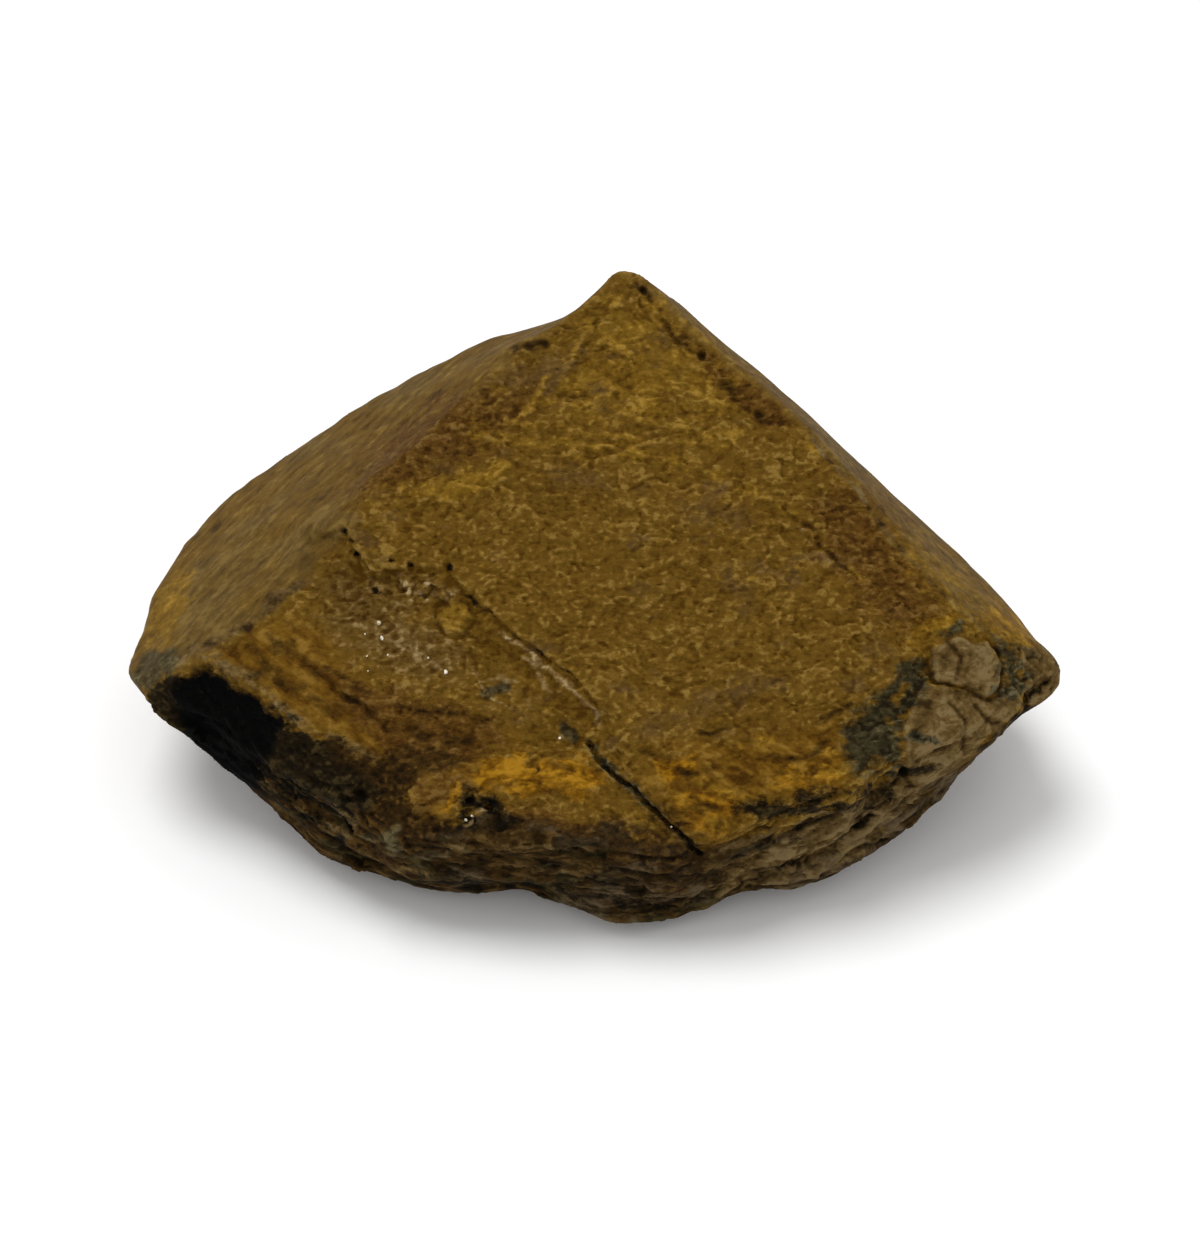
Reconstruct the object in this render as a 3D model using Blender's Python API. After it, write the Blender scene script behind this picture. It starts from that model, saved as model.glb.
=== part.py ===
"""A palm-sized chunk of rough yellow jasper, broken from a bedded seam, as one solid.

Metres, +Z up. The stone lies on a flat cleavage, its bed, with its broad face tipped towards -Y.
The origin is on the bed's plane, under the middle of the stone.
"""

import math

import bmesh
import bpy
from mathutils import Vector, noise

# Driving dimensions.
LENGTH = 0.0640  # left tip to right tip
UNIT = LENGTH / 64.0  # every other size is laid out on a stone 64 units long
FACE_TILT = math.radians(28.0)  # the broad face, and the bedding that it follows, up from level

NODE = "jasper_chunk"

# Directions, as unit vectors.
BEDDING = Vector((0.0, -math.sin(FACE_TILT), math.cos(FACE_TILT)))  # square to the layers
LEFT_BEVEL = Vector((-0.61, 0.29, 0.74)).normalized()  # the two smooth faces look these ways
RIGHT_BEVEL = Vector((0.62, 0.45, 0.64)).normalized()

# Triangles, in units.
LONGEST_SIDE = 2.3
FINE_SIDE = 1.0  # the same within FINE_REACH of the crack and the step
FINE_REACH = 1.2
SPLIT_ROUNDS = 7
FLAT_ANGLE = math.radians(1.0)  # edges that bend less may be swapped

# The corners where the breaks meet, in units, group by group round the stone.
CORNERS = {
    "apex": [(2.0, 13.4, 29.3), (0.2, 14.5, 26.6), (4.6, 13.4, 27.0)],
    "broad face, right edge": [
        (3.1, 12.5, 28.6),
        (10.8, 5.6, 24.8),
        (14.4, 2.6, 23.2),
        (16.9, 0.2, 21.9),
        (21.5, -5.7, 18.8),
        (24.2, -8.2, 17.5),
    ],
    "broad face, front edge": [
        (22.4, -11.4, 15.8),
        (20.5, -16.9, 12.9),
        (16.6, -19.0, 11.7),
        (11.3, -20.8, 10.8),
        (6.5, -22.9, 9.6),
        (-0.7, -16.6, 13.0),
    ],
    "broad face, left edge": [
        (-0.5, 11.3, 27.8),
        (-5.6, 8.4, 26.3),
        (-9.9, 4.3, 24.1),
        (-15.2, -0.2, 21.8),
        (-16.9, -3.4, 20.0),
    ],
    "left shoulder": [
        (-17.7, -5.1, 19.0),
        (-22.5, -8.5, 16.2),
        (-26.2, -9.3, 14.4),
        (-23.1, -11.9, 13.6),
        (-20.8, -14.3, 12.4),
        (-17.4, -15.5, 11.9),
        (-13.7, -17.1, 11.3),
    ],
    "ochre bench": [(-12.0, -20.9, 8.6), (-5.3, -20.9, 9.2), (0.7, -20.5, 10.2)],
    "left tip": [(-32.1, -9.0, 11.1), (-30.4, -10.3, 12.0), (-32.3, -3.6, 9.5), (-30.0, -9.9, 10.2)],
    "left bevel, outer edge": [
        (-2.8, 14.1, 24.5),
        (-6.3, 14.4, 22.5),
        (-10.1, 13.7, 20.5),
        (-14.6, 12.8, 18.5),
        (-19.3, 11.2, 16.0),
        (-23.5, 10.3, 13.0),
        (-27.4, 8.3, 11.0),
        (-29.0, 6.0, 10.0),
        (-30.8, 1.3, 10.0),
        (-32.0, -1.2, 10.0),
    ],
    "right bevel, outer edge": [
        (7.6, 11.6, 24.5),
        (11.1, 9.0, 22.2),
        (15.3, 5.4, 20.0),
        (18.8, 4.0, 18.0),
        (22.3, 2.4, 15.5),
        (25.9, -0.2, 13.5),
        (28.4, -3.1, 12.5),
        (30.0, -6.0, 12.3),
    ],
    "right tip": [
        (31.7, -8.8, 12.1),
        (31.3, -9.5, 11.0),
        (27.0, -9.1, 14.6),
        (24.1, -12.9, 13.5),
        (28.5, -10.7, 11.9),
    ],
    "front toe": [
        (-26.3, -10.9, 7.8),
        (-23.7, -12.6, 5.6),
        (-20.8, -15.0, 3.1),
        (-17.4, -17.3, 1.8),
        (-13.9, -19.1, 1.2),
        (1.5, -21.4, 1.0),
        (3.0, -21.8, 1.0),
        (6.1, -21.4, 1.2),
        (17.0, -18.6, 2.1),
        (19.5, -17.5, 3.1),
        (23.2, -14.5, 6.0),
    ],
    "back belt": [
        (-27.0, 10.0, 6.0),
        (-18.0, 15.5, 8.0),
        (-8.0, 18.5, 10.0),
        (1.0, 19.5, 14.0),
        (8.0, 17.0, 12.0),
        (17.0, 12.5, 9.0),
        (24.5, 6.0, 7.0),
        (29.0, -1.0, 6.5),
    ],
    "foot": [
        (-30.0, 0.0, 5.0),
        (-25.0, 9.0, 2.5),
        (-14.0, 15.5, 2.5),
        (-2.0, 19.5, 4.0),
        (9.0, 17.0, 3.5),
        (19.0, 11.0, 3.0),
        (25.0, 3.0, 2.5),
        (27.0, -5.0, 3.5),
    ],
    "bed": [
        (-21.0, 6.5, 0.0),
        (-12.0, 12.5, 0.0),
        (-1.0, 15.5, 0.0),
        (9.0, 13.5, 0.0),
        (17.0, 8.0, 0.0),
        (21.5, 1.0, 0.0),
        (20.5, -7.0, 0.0),
        (15.0, -13.0, 0.0),
        (6.0, -17.5, 0.0),
        (0.0, -17.5, 0.0),
        (-10.0, -15.0, 0.0),
        (-18.0, -11.5, 0.0),
        (-22.0, -4.0, 0.0),
    ],
}

# Relief of the surface, in units.
EDGE_WEAR = (0.5, -0.4, 0.5, -0.4)  # how far each pass draws a point to the middle of its neighbours
SWELL, SWELL_LENGTH = 0.35, 13.0
LUMPS, LUMP_LENGTH = 0.45, 5.0
LUMPS_WHERE_SMOOTH = 0.35  # as a share of the lumps where the stone is broken
SMOOTH_FACING, BROKEN_FACING = 0.95, 0.75  # cosine of the angle off the nearest smooth face
LAYER_HEIGHT, LAYER_THICKNESS, LAYER_LENGTH = 0.9, 4.0, 15.0
LEDGE_HEIGHT, LEDGE_PITCH, LEDGE_WANDER = 1.0, 5.5, 1.5
LEDGE_LIP = 0.7  # how far up each ledge its lip is
UPWARD = 0.3  # a normal's z where the surface counts as a top one
UNDERCUT = 0.15  # everything off the bed stays this far above it

# Shallow dishes where flakes came away: centre, radius and depth, in units.
SCARS = {
    "left of the apex": ((-2.6, 13.8, 25.2), 6.0, 1.2),
    "above the left tip": ((-32.0, -4.5, 9.5), 3.2, 0.25),
    "under the left tip": ((-27.5, -11.2, 8.6), 5.0, 0.55),
    "front, left of the toe": ((-5.0, -20.0, 1.5), 5.5, 1.0),
    "front, right of the toe": ((10.5, -20.5, 1.6), 4.0, 1.0),
    "under the right tip": ((27.5, -12.0, 7.5), 6.0, 0.4),
    "back, left": ((-12.0, 17.0, 9.0), 9.0, 1.3),
    "back, right": ((13.0, 14.5, 10.0), 8.0, 1.2),
    "back, low": ((0.0, 19.5, 5.0), 6.0, 0.9),
}

# The crack that gapes across the broad face's front edge, in units.
CRACK_LINE = [
    (-0.8, -15.7, 12.6),
    (0.3, -17.0, 12.0),
    (1.9, -19.2, 11.3),
    (4.0, -21.0, 10.2),
    (6.6, -22.8, 8.8),
]

# Long hollows along lines on the surface: points, half width and depth, in units.
FURROWS = {
    "open crack": (CRACK_LINE, 1.3, 0.8),
    "above the ochre bench": (
        [(-17.0, -15.5, 12.1), (-13.4, -15.8, 12.2), (-8.7, -15.8, 12.5), (-4.0, -15.7, 12.6)],
        2.2,
        0.45,
    ),
    "split near the right ridge": (
        [(12.5, -1.9, 21.3), (14.3, -4.1, 20.0), (16.1, -6.2, 18.9), (19.4, -9.1, 17.4)],
        1.2,
        0.3,
    ),
    "beside the right block": (
        [(21.8, -10.1, 16.5), (22.8, -11.4, 15.6), (21.4, -13.7, 14.5), (20.0, -16.2, 13.2)],
        1.4,
        0.45,
    ),
    "brown seam below the apex": (
        [(4.4, 8.7, 26.6), (6.8, 8.0, 26.1), (9.2, 5.7, 25.1), (11.5, 3.1, 23.9)],
        1.6,
        0.35,
    ),
    "notch in the right tip": ([(28.6, -10.6, 10.4), (28.0, -10.2, 13.0)], 1.2, 0.5),
    "back, long": ([(-19.0, 11.0, 12.0), (-8.0, 16.5, 15.0), (4.0, 17.5, 17.0)], 1.8, 0.6),
    "back, short": ([(6.0, 17.5, 7.0), (20.0, 9.0, 5.0)], 1.8, 0.6),
}

# The step where a thin sheet has split from the broad face: its line, in plan, and its drop.
STEP_LINE = [(-19.0, -2.6), (-16.6, -4.8), (-11.0, -7.2), (-8.0, -9.6), (-4.0, -12.2), (0.0, -14.8)]
STEP_DROP = 0.6
STEP_HALF_WIDTH = 0.5
STEP_REACH = 8.0  # the drop has faded out this far from the line


def clear_scene():
    for obj in list(bpy.data.objects):
        bpy.data.objects.remove(obj)


def smooth_step(value, low, high):
    share = min(1.0, max(0.0, (value - low) / (high - low)))
    return share * share * (3.0 - 2.0 * share)


def broken_block():
    """The convex block that the breaks leave, as a bmesh in units."""
    block = bmesh.new()
    for group in CORNERS.values():
        for corner in group:
            block.verts.new(corner)
    hull = bmesh.ops.convex_hull(block, input=block.verts)
    inside = {piece for piece in hull["geom_interior"] if isinstance(piece, bmesh.types.BMVert)}
    bmesh.ops.delete(block, geom=list(inside), context="VERTS")
    return block


def nearest_on_line(at, points):
    """Gap from a place to a line of points, with that stretch's direction and the way to it."""
    found = []
    for start, end in zip(points, points[1:]):
        along = Vector(end) - Vector(start)
        offset = at - Vector(start)
        share = min(1.0, max(0.0, offset.dot(along) / along.length_squared))
        found.append(((offset - share * along).length, along, offset))
    return min(found, key=lambda stretch: stretch[0])


def beside_step(at):
    """Distance in plan from the step's line, positive on the dropped side, which is the left one."""
    gap, along, offset = nearest_on_line(at.xy, STEP_LINE)
    return math.copysign(gap, offset.cross(along))


def wanted_side(at, facing):
    near_step = facing.z > UPWARD and abs(beside_step(at)) < FINE_REACH
    near_crack = nearest_on_line(at, CRACK_LINE)[0] < FINE_REACH
    return FINE_SIDE if near_step or near_crack else LONGEST_SIDE


def split_evenly(block):
    """Halves long edges, round after round, and keeps the breaks' own edges where they are."""
    for _ in range(SPLIT_ROUNDS):
        block.normal_update()
        long_edges = []
        for edge in block.edges:
            middle = (edge.verts[0].co + edge.verts[1].co) / 2.0
            if edge.calc_length() > wanted_side(middle, edge.link_faces[0].normal):
                long_edges.append(edge)
        bmesh.ops.subdivide_edges(block, edges=long_edges, cuts=1)
        bmesh.ops.triangulate(block, faces=block.faces[:], ngon_method="BEAUTY")
        flat = [edge for edge in block.edges if edge.calc_face_angle() < FLAT_ANGLE]
        bmesh.ops.beautify_fill(block, faces=block.faces[:], edges=flat)


def scars(at):
    depth = 0.0
    for centre, radius, deepest in SCARS.values():
        share = min(1.0, (at - Vector(centre)).length / radius)
        depth += deepest * (1.0 - share * share) ** 2
    return depth


def furrows(at):
    depth = 0.0
    for points, half_width, deepest in FURROWS.values():
        depth += deepest * (1.0 - smooth_step(nearest_on_line(at, points)[0], 0.0, half_width))
    return depth


def step(at, facing):
    if facing.z < UPWARD:
        return 0.0
    side = beside_step(at)
    faded = 1.0 - smooth_step(side, 2.0 * STEP_HALF_WIDTH, STEP_REACH)
    return STEP_DROP * smooth_step(side, -STEP_HALF_WIDTH, STEP_HALF_WIDTH) * faded


def layers(at):
    """Noise stretched along the bedding, so that broken faces show long thin layers."""
    height = at.dot(BEDDING)
    stretched = at / LAYER_LENGTH + BEDDING * height * (1.0 / LAYER_THICKNESS - 1.0 / LAYER_LENGTH)
    return noise.fractal(stretched, 0.9, 2.1, 2)


def ledges(at, facing):
    """How deep the back is cut in terraces, each one rising slowly to its lip and dropping sharply."""
    height = (at.dot(BEDDING) + LEDGE_WANDER * noise.noise(at / LEDGE_PITCH)) / LEDGE_PITCH
    share = height - math.floor(height)
    rise = min(share / LEDGE_LIP, (1.0 - share) / (1.0 - LEDGE_LIP))
    backward = smooth_step(facing.y, 0.3, 0.7)
    steep = 1.0 - smooth_step(facing.z, 0.2, 0.5)
    return LEDGE_HEIGHT * (1.0 - rise) * backward * steep


def relief(at, facing):
    """How far a point of the stone stands out from the block, in units."""
    nearest_smooth = max(facing.dot(LEFT_BEVEL), facing.dot(RIGHT_BEVEL), facing.dot(BEDDING))
    broken = 1.0 - smooth_step(nearest_smooth, BROKEN_FACING, SMOOTH_FACING)
    lumpy = LUMPS_WHERE_SMOOTH + (1.0 - LUMPS_WHERE_SMOOTH) * broken
    raised = SWELL * noise.fractal(at / SWELL_LENGTH, 1.0, 2.0, 2)
    raised += LUMPS * lumpy * noise.fractal(at / LUMP_LENGTH, 1.0, 2.0, 2)
    raised += LAYER_HEIGHT * broken * layers(at)
    return raised - scars(at) - furrows(at) - step(at, facing) - ledges(at, facing)


def round_edges(block):
    """Wears the breaks' edges: points are drawn together, then let part again most of the way."""
    for share in EDGE_WEAR:
        middles = []
        for vert in block.verts:
            around = [edge.other_vert(vert).co for edge in vert.link_edges]
            middles.append(sum(around, Vector()) / len(around))
        for vert, middle in zip(block.verts, middles):
            vert.co = vert.co.lerp(middle, share)


def weather(block):
    """Rounds the block's edges, then raises and sinks its surface, and leaves the bed flat."""
    bed = [vert for vert in block.verts if vert.co.z == 0.0]
    round_edges(block)
    block.normal_update()
    places = [vert.co + vert.normal * relief(vert.co, vert.normal) for vert in block.verts]
    for vert, place in zip(block.verts, places):
        vert.co = (place.x, place.y, max(place.z, UNDERCUT))
    for vert in bed:
        vert.co.z = 0.0


def centre_on_bed(block):
    """Moves the stone so that the origin is under the middle of it, and turns units into metres."""
    for axis in (0, 1):
        places = [vert.co[axis] for vert in block.verts]
        middle = (min(places) + max(places)) / 2.0
        for vert in block.verts:
            vert.co[axis] -= middle
    bmesh.ops.scale(block, vec=(UNIT, UNIT, UNIT), verts=block.verts)


def stone_material():
    stone = bpy.data.materials.new("ochre_jasper")
    stone.use_nodes = True
    finish = stone.node_tree.nodes["Principled BSDF"]
    finish.inputs["Base Color"].default_value = (0.19, 0.115, 0.032, 1.0)
    finish.inputs["Roughness"].default_value = 0.6
    finish.inputs["Metallic"].default_value = 0.0
    return stone


def main():
    clear_scene()
    block = broken_block()
    split_evenly(block)
    weather(block)
    centre_on_bed(block)
    mesh = bpy.data.meshes.new(NODE)
    block.to_mesh(mesh)
    block.free()
    mesh.materials.append(stone_material())
    chunk = bpy.data.objects.new(NODE, mesh)
    bpy.context.scene.collection.objects.link(chunk)


main()
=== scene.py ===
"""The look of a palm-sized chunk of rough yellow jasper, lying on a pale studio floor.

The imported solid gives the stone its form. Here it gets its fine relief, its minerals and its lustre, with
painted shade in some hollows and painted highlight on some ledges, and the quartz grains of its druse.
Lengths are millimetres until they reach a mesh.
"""

import itertools
import math
import random
from collections import namedtuple

import bmesh
import bpy
import numpy as np
from mathutils import Matrix, Vector
from mathutils.bvhtree import BVHTree


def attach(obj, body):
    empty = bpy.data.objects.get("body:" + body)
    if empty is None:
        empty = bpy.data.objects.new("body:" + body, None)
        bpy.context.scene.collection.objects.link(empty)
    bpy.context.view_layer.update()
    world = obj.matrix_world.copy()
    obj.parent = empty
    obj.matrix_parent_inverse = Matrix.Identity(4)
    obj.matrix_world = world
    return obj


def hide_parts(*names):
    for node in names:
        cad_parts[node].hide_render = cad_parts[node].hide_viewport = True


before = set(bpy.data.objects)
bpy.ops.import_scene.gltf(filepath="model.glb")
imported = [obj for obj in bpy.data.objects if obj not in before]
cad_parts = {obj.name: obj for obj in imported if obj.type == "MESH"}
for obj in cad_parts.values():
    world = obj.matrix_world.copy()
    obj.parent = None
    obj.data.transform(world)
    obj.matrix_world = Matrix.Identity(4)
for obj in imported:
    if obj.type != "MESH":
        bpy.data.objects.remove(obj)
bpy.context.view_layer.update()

MM = 0.001
NODE = "jasper_chunk"
STONE_SEED, CRYSTAL_SEED = 11, 5

# The camera, in millimetres.
IMAGE_WIDTH, IMAGE_HEIGHT = 1200, 1244
AIM = np.array((0.583, -2.556, 12.0))
ELEVATION = math.radians(45.0)
DISTANCE = 320.0
LENS, SENSOR = 135.0, 36.0
RIGHT = np.array((1.0, 0.0, 0.0))
UP = np.array((0.0, math.sin(ELEVATION), math.cos(ELEVATION)))
AHEAD = np.array((0.0, math.cos(ELEVATION), -math.sin(ELEVATION)))
EYE = AIM - DISTANCE * AHEAD
FOCAL_PIXELS = LENS / SENSOR * IMAGE_HEIGHT

# The studio.
FLOOR_HALF_WIDTH = 1500.0
FLOOR_LEVEL = -0.02
BACKDROP_STRENGTH = 0.74
SOFTBOX_STRENGTH = 1.55
SOFTBOX_SPREAD = math.radians(30.0)
SOFTBOX_LEAN = (math.radians(-9.0), math.radians(-14.0), 0.0)

# The stone's layers lie parallel to its broad face.
FACE_TILT = math.radians(28.0)
BEDDING = np.array((0.0, -math.sin(FACE_TILT), math.cos(FACE_TILT)))
DOWN_DIP = np.array((0.0, math.cos(FACE_TILT), math.sin(FACE_TILT)))
LAYER_AXES = (RIGHT, DOWN_DIP, BEDDING)

# The left bevel's own directions: along it, down it and out of it.
BEVEL_ALONG = np.array((0.703, 0.628, 0.333))
BEVEL_OUT = np.array((-0.61, 0.29, 0.74))
BEVEL_AXES = (BEVEL_ALONG, np.cross(BEVEL_OUT, BEVEL_ALONG), BEVEL_OUT)

# The rim below the left shoulder: along it, up from it and out of it.
RIM_ALONG = np.array((0.763, -0.612, -0.208))
RIM_OUT = np.array((-0.25, -0.58, 0.77))
RIM_AXES = (RIM_ALONG, np.cross(RIM_OUT, RIM_ALONG), RIM_OUT)

# The fine mesh.
VOXEL = 0.2
MOST_TRIANGLES = 190000
SEEN_THINNING, HIDDEN_THINNING = 0.02, 0.52

# Outlines and lines on the stone, as pixels of the camera's 1200 x 1244 image: first the two worn bevels.
LEFT_BEVEL = [
    (630, 255), (592, 301), (540, 335), (518, 346), (455, 409), (410, 445), (375, 480), (350, 520),
    (338, 545), (307, 577), (277, 610), (243, 633), (203, 657), (180, 670), (150, 690), (110, 700),
    (110, 540), (300, 390), (560, 270),
]
RIGHT_BEVEL = [
    (630, 255), (643, 286), (700, 342), (759, 391), (812, 438), (849, 477), (878, 522), (918, 568),
    (958, 606), (990, 630), (1060, 655), (1070, 600), (900, 430), (700, 260),
]
BEVEL_GOLD = [(912, 530), (940, 556), (975, 588), (1004, 614), (984, 620), (946, 590), (916, 556)]
RIGHT_BEVEL_EDGE = [(812, 440), (849, 479), (880, 524), (920, 570), (960, 608), (992, 634)]
LEFT_YELLOW = [(152, 600), (178, 565), (192, 575), (188, 613), (172, 640), (150, 645)]

# The left tip and the shoulder above the black patch.
TIP_HEAD = [(128, 678), (137, 658), (150, 651), (178, 652), (172, 668), (152, 684), (138, 692)]
TIP_STREAK = [(165, 664), (200, 650), (232, 632), (262, 612), (300, 582)]
# The underside below the tip is painted dark: partly dark stone, partly painted shade of the
# downward-facing facet.
TIP_UNDERSIDE = [(136, 700), (176, 668), (205, 700), (240, 745), (250, 820), (140, 790)]
# The black patch is partly a dark inclusion and partly painted shadow below the shoulder.
BLACK_PATCH = [
    (172, 690), (180, 674), (205, 670), (232, 682), (258, 700), (286, 726), (276, 742), (266, 762),
    (250, 800), (190, 770),
]
# The trail is painted dark: partly dark stone, partly painted shade of the underside below the shoulder
# rim.
BLACK_TRAIL = [
    (262, 712), (284, 714), (306, 724), (328, 738), (350, 752), (374, 761), (408, 766), (402, 796),
    (382, 816), (345, 812), (300, 794), (252, 784),
]
# The trail's foot is painted dark brown: painted shade of the underside below the shoulder.
TRAIL_FOOT = [
    (316, 728), (345, 746), (372, 754), (410, 746), (452, 752), (466, 764), (440, 774), (412, 785),
    (404, 800), (420, 810), (444, 816), (452, 828), (425, 842), (390, 868), (350, 850), (366, 816),
    (384, 790), (345, 764),
]
SHOULDER = [
    (207, 655), (243, 633), (287, 618), (320, 628), (336, 660), (373, 690), (420, 712), (470, 722),
    (520, 740), (453, 755), (407, 756), (367, 757), (327, 737), (287, 717), (263, 693), (230, 670),
]
SHOULDER_DARKS = [
    [(248, 645), (262, 662), (285, 680), (300, 690)], [(290, 650), (315, 672), (345, 700), (372, 712)],
    [(262, 668), (300, 700), (330, 716)], [(330, 690), (372, 716), (420, 728)], [(268, 640), (290, 662)],
    [(382, 724), (430, 736), (470, 740)], [(400, 708), (440, 716), (484, 722)], [(340, 676), (366, 692)],
]
SHOULDER_BROWN = [
    (322, 668), (380, 688), (430, 704), (492, 714), (505, 742), (480, 756), (430, 758), (395, 752),
    (372, 742), (345, 712),
]
SHOULDER_RIM = [(206, 657), (240, 672), (268, 694), (290, 716), (316, 731), (345, 748), (372, 758)]

# The ochre band along the front edge.
OCHRE_BAND = [
    (411, 782), (432, 772), (461, 763), (500, 757), (545, 754), (585, 762), (609, 772), (612, 786),
    (590, 794), (560, 790), (530, 796), (500, 799), (466, 793), (456, 808), (440, 820), (418, 818),
]
OCHRE_MAIN = [
    (476, 771), (500, 758), (545, 755), (585, 763), (609, 774), (606, 788), (560, 788), (506, 795),
    (484, 790),
]
OCHRE_END = [(432, 818), (446, 808), (456, 790)]
BAND_LEFT = [(410, 782), (440, 771), (466, 776), (478, 788), (464, 800), (440, 808), (414, 812)]
OCHRE_HEART = [
    (470, 775), (500, 764), (545, 757), (580, 764), (604, 776), (590, 789), (560, 783), (520, 791),
    (484, 790),
]
OLIVE_FRINGE = [
    (500, 806), (530, 803), (560, 816), (606, 820), (650, 832), (664, 844), (600, 836), (530, 822),
]
VUG = [
    [(463, 802), (472, 796)], [(478, 806), (492, 811)], [(486, 799), (497, 803)], [(464, 815), (476, 821)],
]
VUG_CRUMBS = [[(463, 823), (471, 820)], [(477, 813), (483, 811)]]
VUG_TRAIL = [(432, 826), (460, 822), (520, 818)]
BAND_FOOT = [(540, 822), (566, 830), (600, 827), (640, 833), (664, 842)]

# The broken layers below the front edge.
LOWER_BAND = [
    (140, 712), (185, 738), (225, 754), (262, 766), (300, 778), (365, 808), (405, 810), (420, 821),
    (454, 825), (497, 806), (544, 820), (601, 829), (652, 843), (706, 852), (710, 940), (600, 960),
    (380, 930), (200, 850),
]
LOWER_RIGHT = [
    (690, 850), (742, 838), (790, 826), (850, 802), (905, 772), (960, 765), (1024, 706), (1075, 690),
    (1040, 760), (880, 900), (700, 940), (680, 900),
]
GREY_FLAKE = [
    (362, 838), (382, 834), (394, 822), (402, 825), (396, 840), (406, 856), (396, 855), (384, 843),
]
FRONT_SHADE = [
    (596, 832), (636, 824), (684, 826), (706, 846), (704, 880), (686, 902), (660, 892), (636, 876),
    (606, 850),
]
RIGHT_PALE = [
    (704, 882), (780, 838), (812, 804), (860, 806), (900, 778), (934, 768), (900, 806), (856, 856),
    (800, 876), (716, 900),
]
# Pale lines on the ledge edges of the broken layers: painted highlight.
LEFT_LIGHTS = [
    [(252, 774), (285, 800), (330, 828), (360, 842)], [(300, 780), (335, 800), (366, 832)],
    [(318, 772), (346, 790), (380, 812)], [(360, 850), (400, 870), (440, 876)],
]
# Dark lines in the gaps below those ledges: painted shade.
LEFT_DARKS = [
    [(262, 784), (300, 812), (345, 842)], [(300, 792), (340, 815), (362, 838)], [(345, 848), (385, 866)],
    [(330, 778), (352, 800)], [(250, 766), (300, 786)],
]
FRONT_DARKS = [
    [(560, 890), (600, 897), (640, 908)], [(636, 880), (680, 872), (715, 876)],
    [(630, 898), (668, 908), (700, 898)], [(440, 878), (490, 884), (540, 886)], [(640, 862), (700, 858)],
    [(610, 866), (650, 878)], [(590, 880), (640, 892)],
]
FRONT_LIGHTS = [
    [(420, 850), (500, 850), (560, 846), (620, 850)], [(430, 880), (500, 882), (560, 888)],
    [(560, 874), (600, 870), (640, 878)], [(534, 885), (590, 901), (650, 915)],
]
FRONT_GREENS = [[(412, 838), (446, 830)], [(603, 833), (640, 836)]]
# Pale lines on the right ledge edges: painted highlight.
RIGHT_LEDGES = [
    [(712, 854), (780, 826), (840, 796), (866, 788)], [(812, 874), (856, 832), (900, 790), (944, 757)],
    [(733, 870), (790, 852), (845, 825)], [(850, 862), (900, 812), (950, 768), (1003, 722)],
]
# Dark lines in the gaps between the right ledges: painted shade.
RIGHT_GAPS = [
    [(720, 862), (786, 834), (850, 804)], [(800, 868), (850, 828), (892, 794)],
    [(870, 800), (905, 778), (935, 764)], [(740, 880), (800, 862)],
]
EDGE_DARKS = [
    (742, 810), (760, 796), (800, 797), (850, 790), (860, 797), (838, 808), (800, 815), (756, 821),
]

# The druse, its pits and the step where a sheet has come away.
DRUSE_FLOOR = [
    (318, 573), (350, 566), (374, 582), (388, 606), (440, 630), (470, 650), (455, 675), (420, 680),
    (380, 664), (345, 642), (322, 612),
]
DRUSE_GRAINS = [(366, 580), (400, 572), (436, 578), (460, 592), (446, 604), (418, 604), (384, 600)]
SHEET_EDGE = [
    (340, 527), (352, 548), (366, 574), (384, 570), (411, 568), (448, 568), (466, 590), (480, 604),
    (498, 618), (520, 637), (552, 658), (578, 683), (597, 702), (598, 722),
]
SHEET_GONE = SHEET_EDGE + [(570, 760), (480, 760), (300, 720), (260, 620), (310, 540)]
STEP_CREVICE = [
    (448, 592), (466, 596), (480, 606), (498, 620), (520, 638), (552, 660), (578, 684), (598, 704),
]
STEP_EDGE = [(500, 632), (520, 646), (549, 667), (574, 692), (594, 708), (597, 724)]
PALE_ZIGZAG = [(518, 657), (534, 662), (544, 679), (556, 693), (540, 668), (552, 664)]
PALE_LINES = [
    [(382, 634), (400, 646), (425, 658), (447, 673)], [(470, 668), (484, 684), (492, 698), (508, 708)],
    [(484, 680), (500, 676), (518, 684)], [(402, 640), (416, 648)],
]
NODULE = [(440, 612), (450, 600), (466, 606), (472, 622), (462, 636), (446, 632)]
NODULE_RIM = [(436, 612), (448, 597), (468, 602), (476, 622), (464, 640), (444, 636), (436, 612)]
GREEN_SPOTS = [[(490, 694), (506, 686)], [(562, 728), (576, 740)]]
PITS = {
    (342, 531): 4.5, (350, 541): 4.5, (356, 556): 5.0, (375, 589): 4.5, (411, 566): 4.5, (448, 566): 5.0,
    (702, 355): 5.0, (470, 801): 6.0, (488, 808): 6.0, (360, 797): 9.0, (905, 771): 6.0, (643, 290): 5.0,
    (1028, 696): 5.0, (392, 560): 3.0, (430, 574): 3.0, (404, 590): 3.5, (424, 596): 3.0,
}

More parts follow.
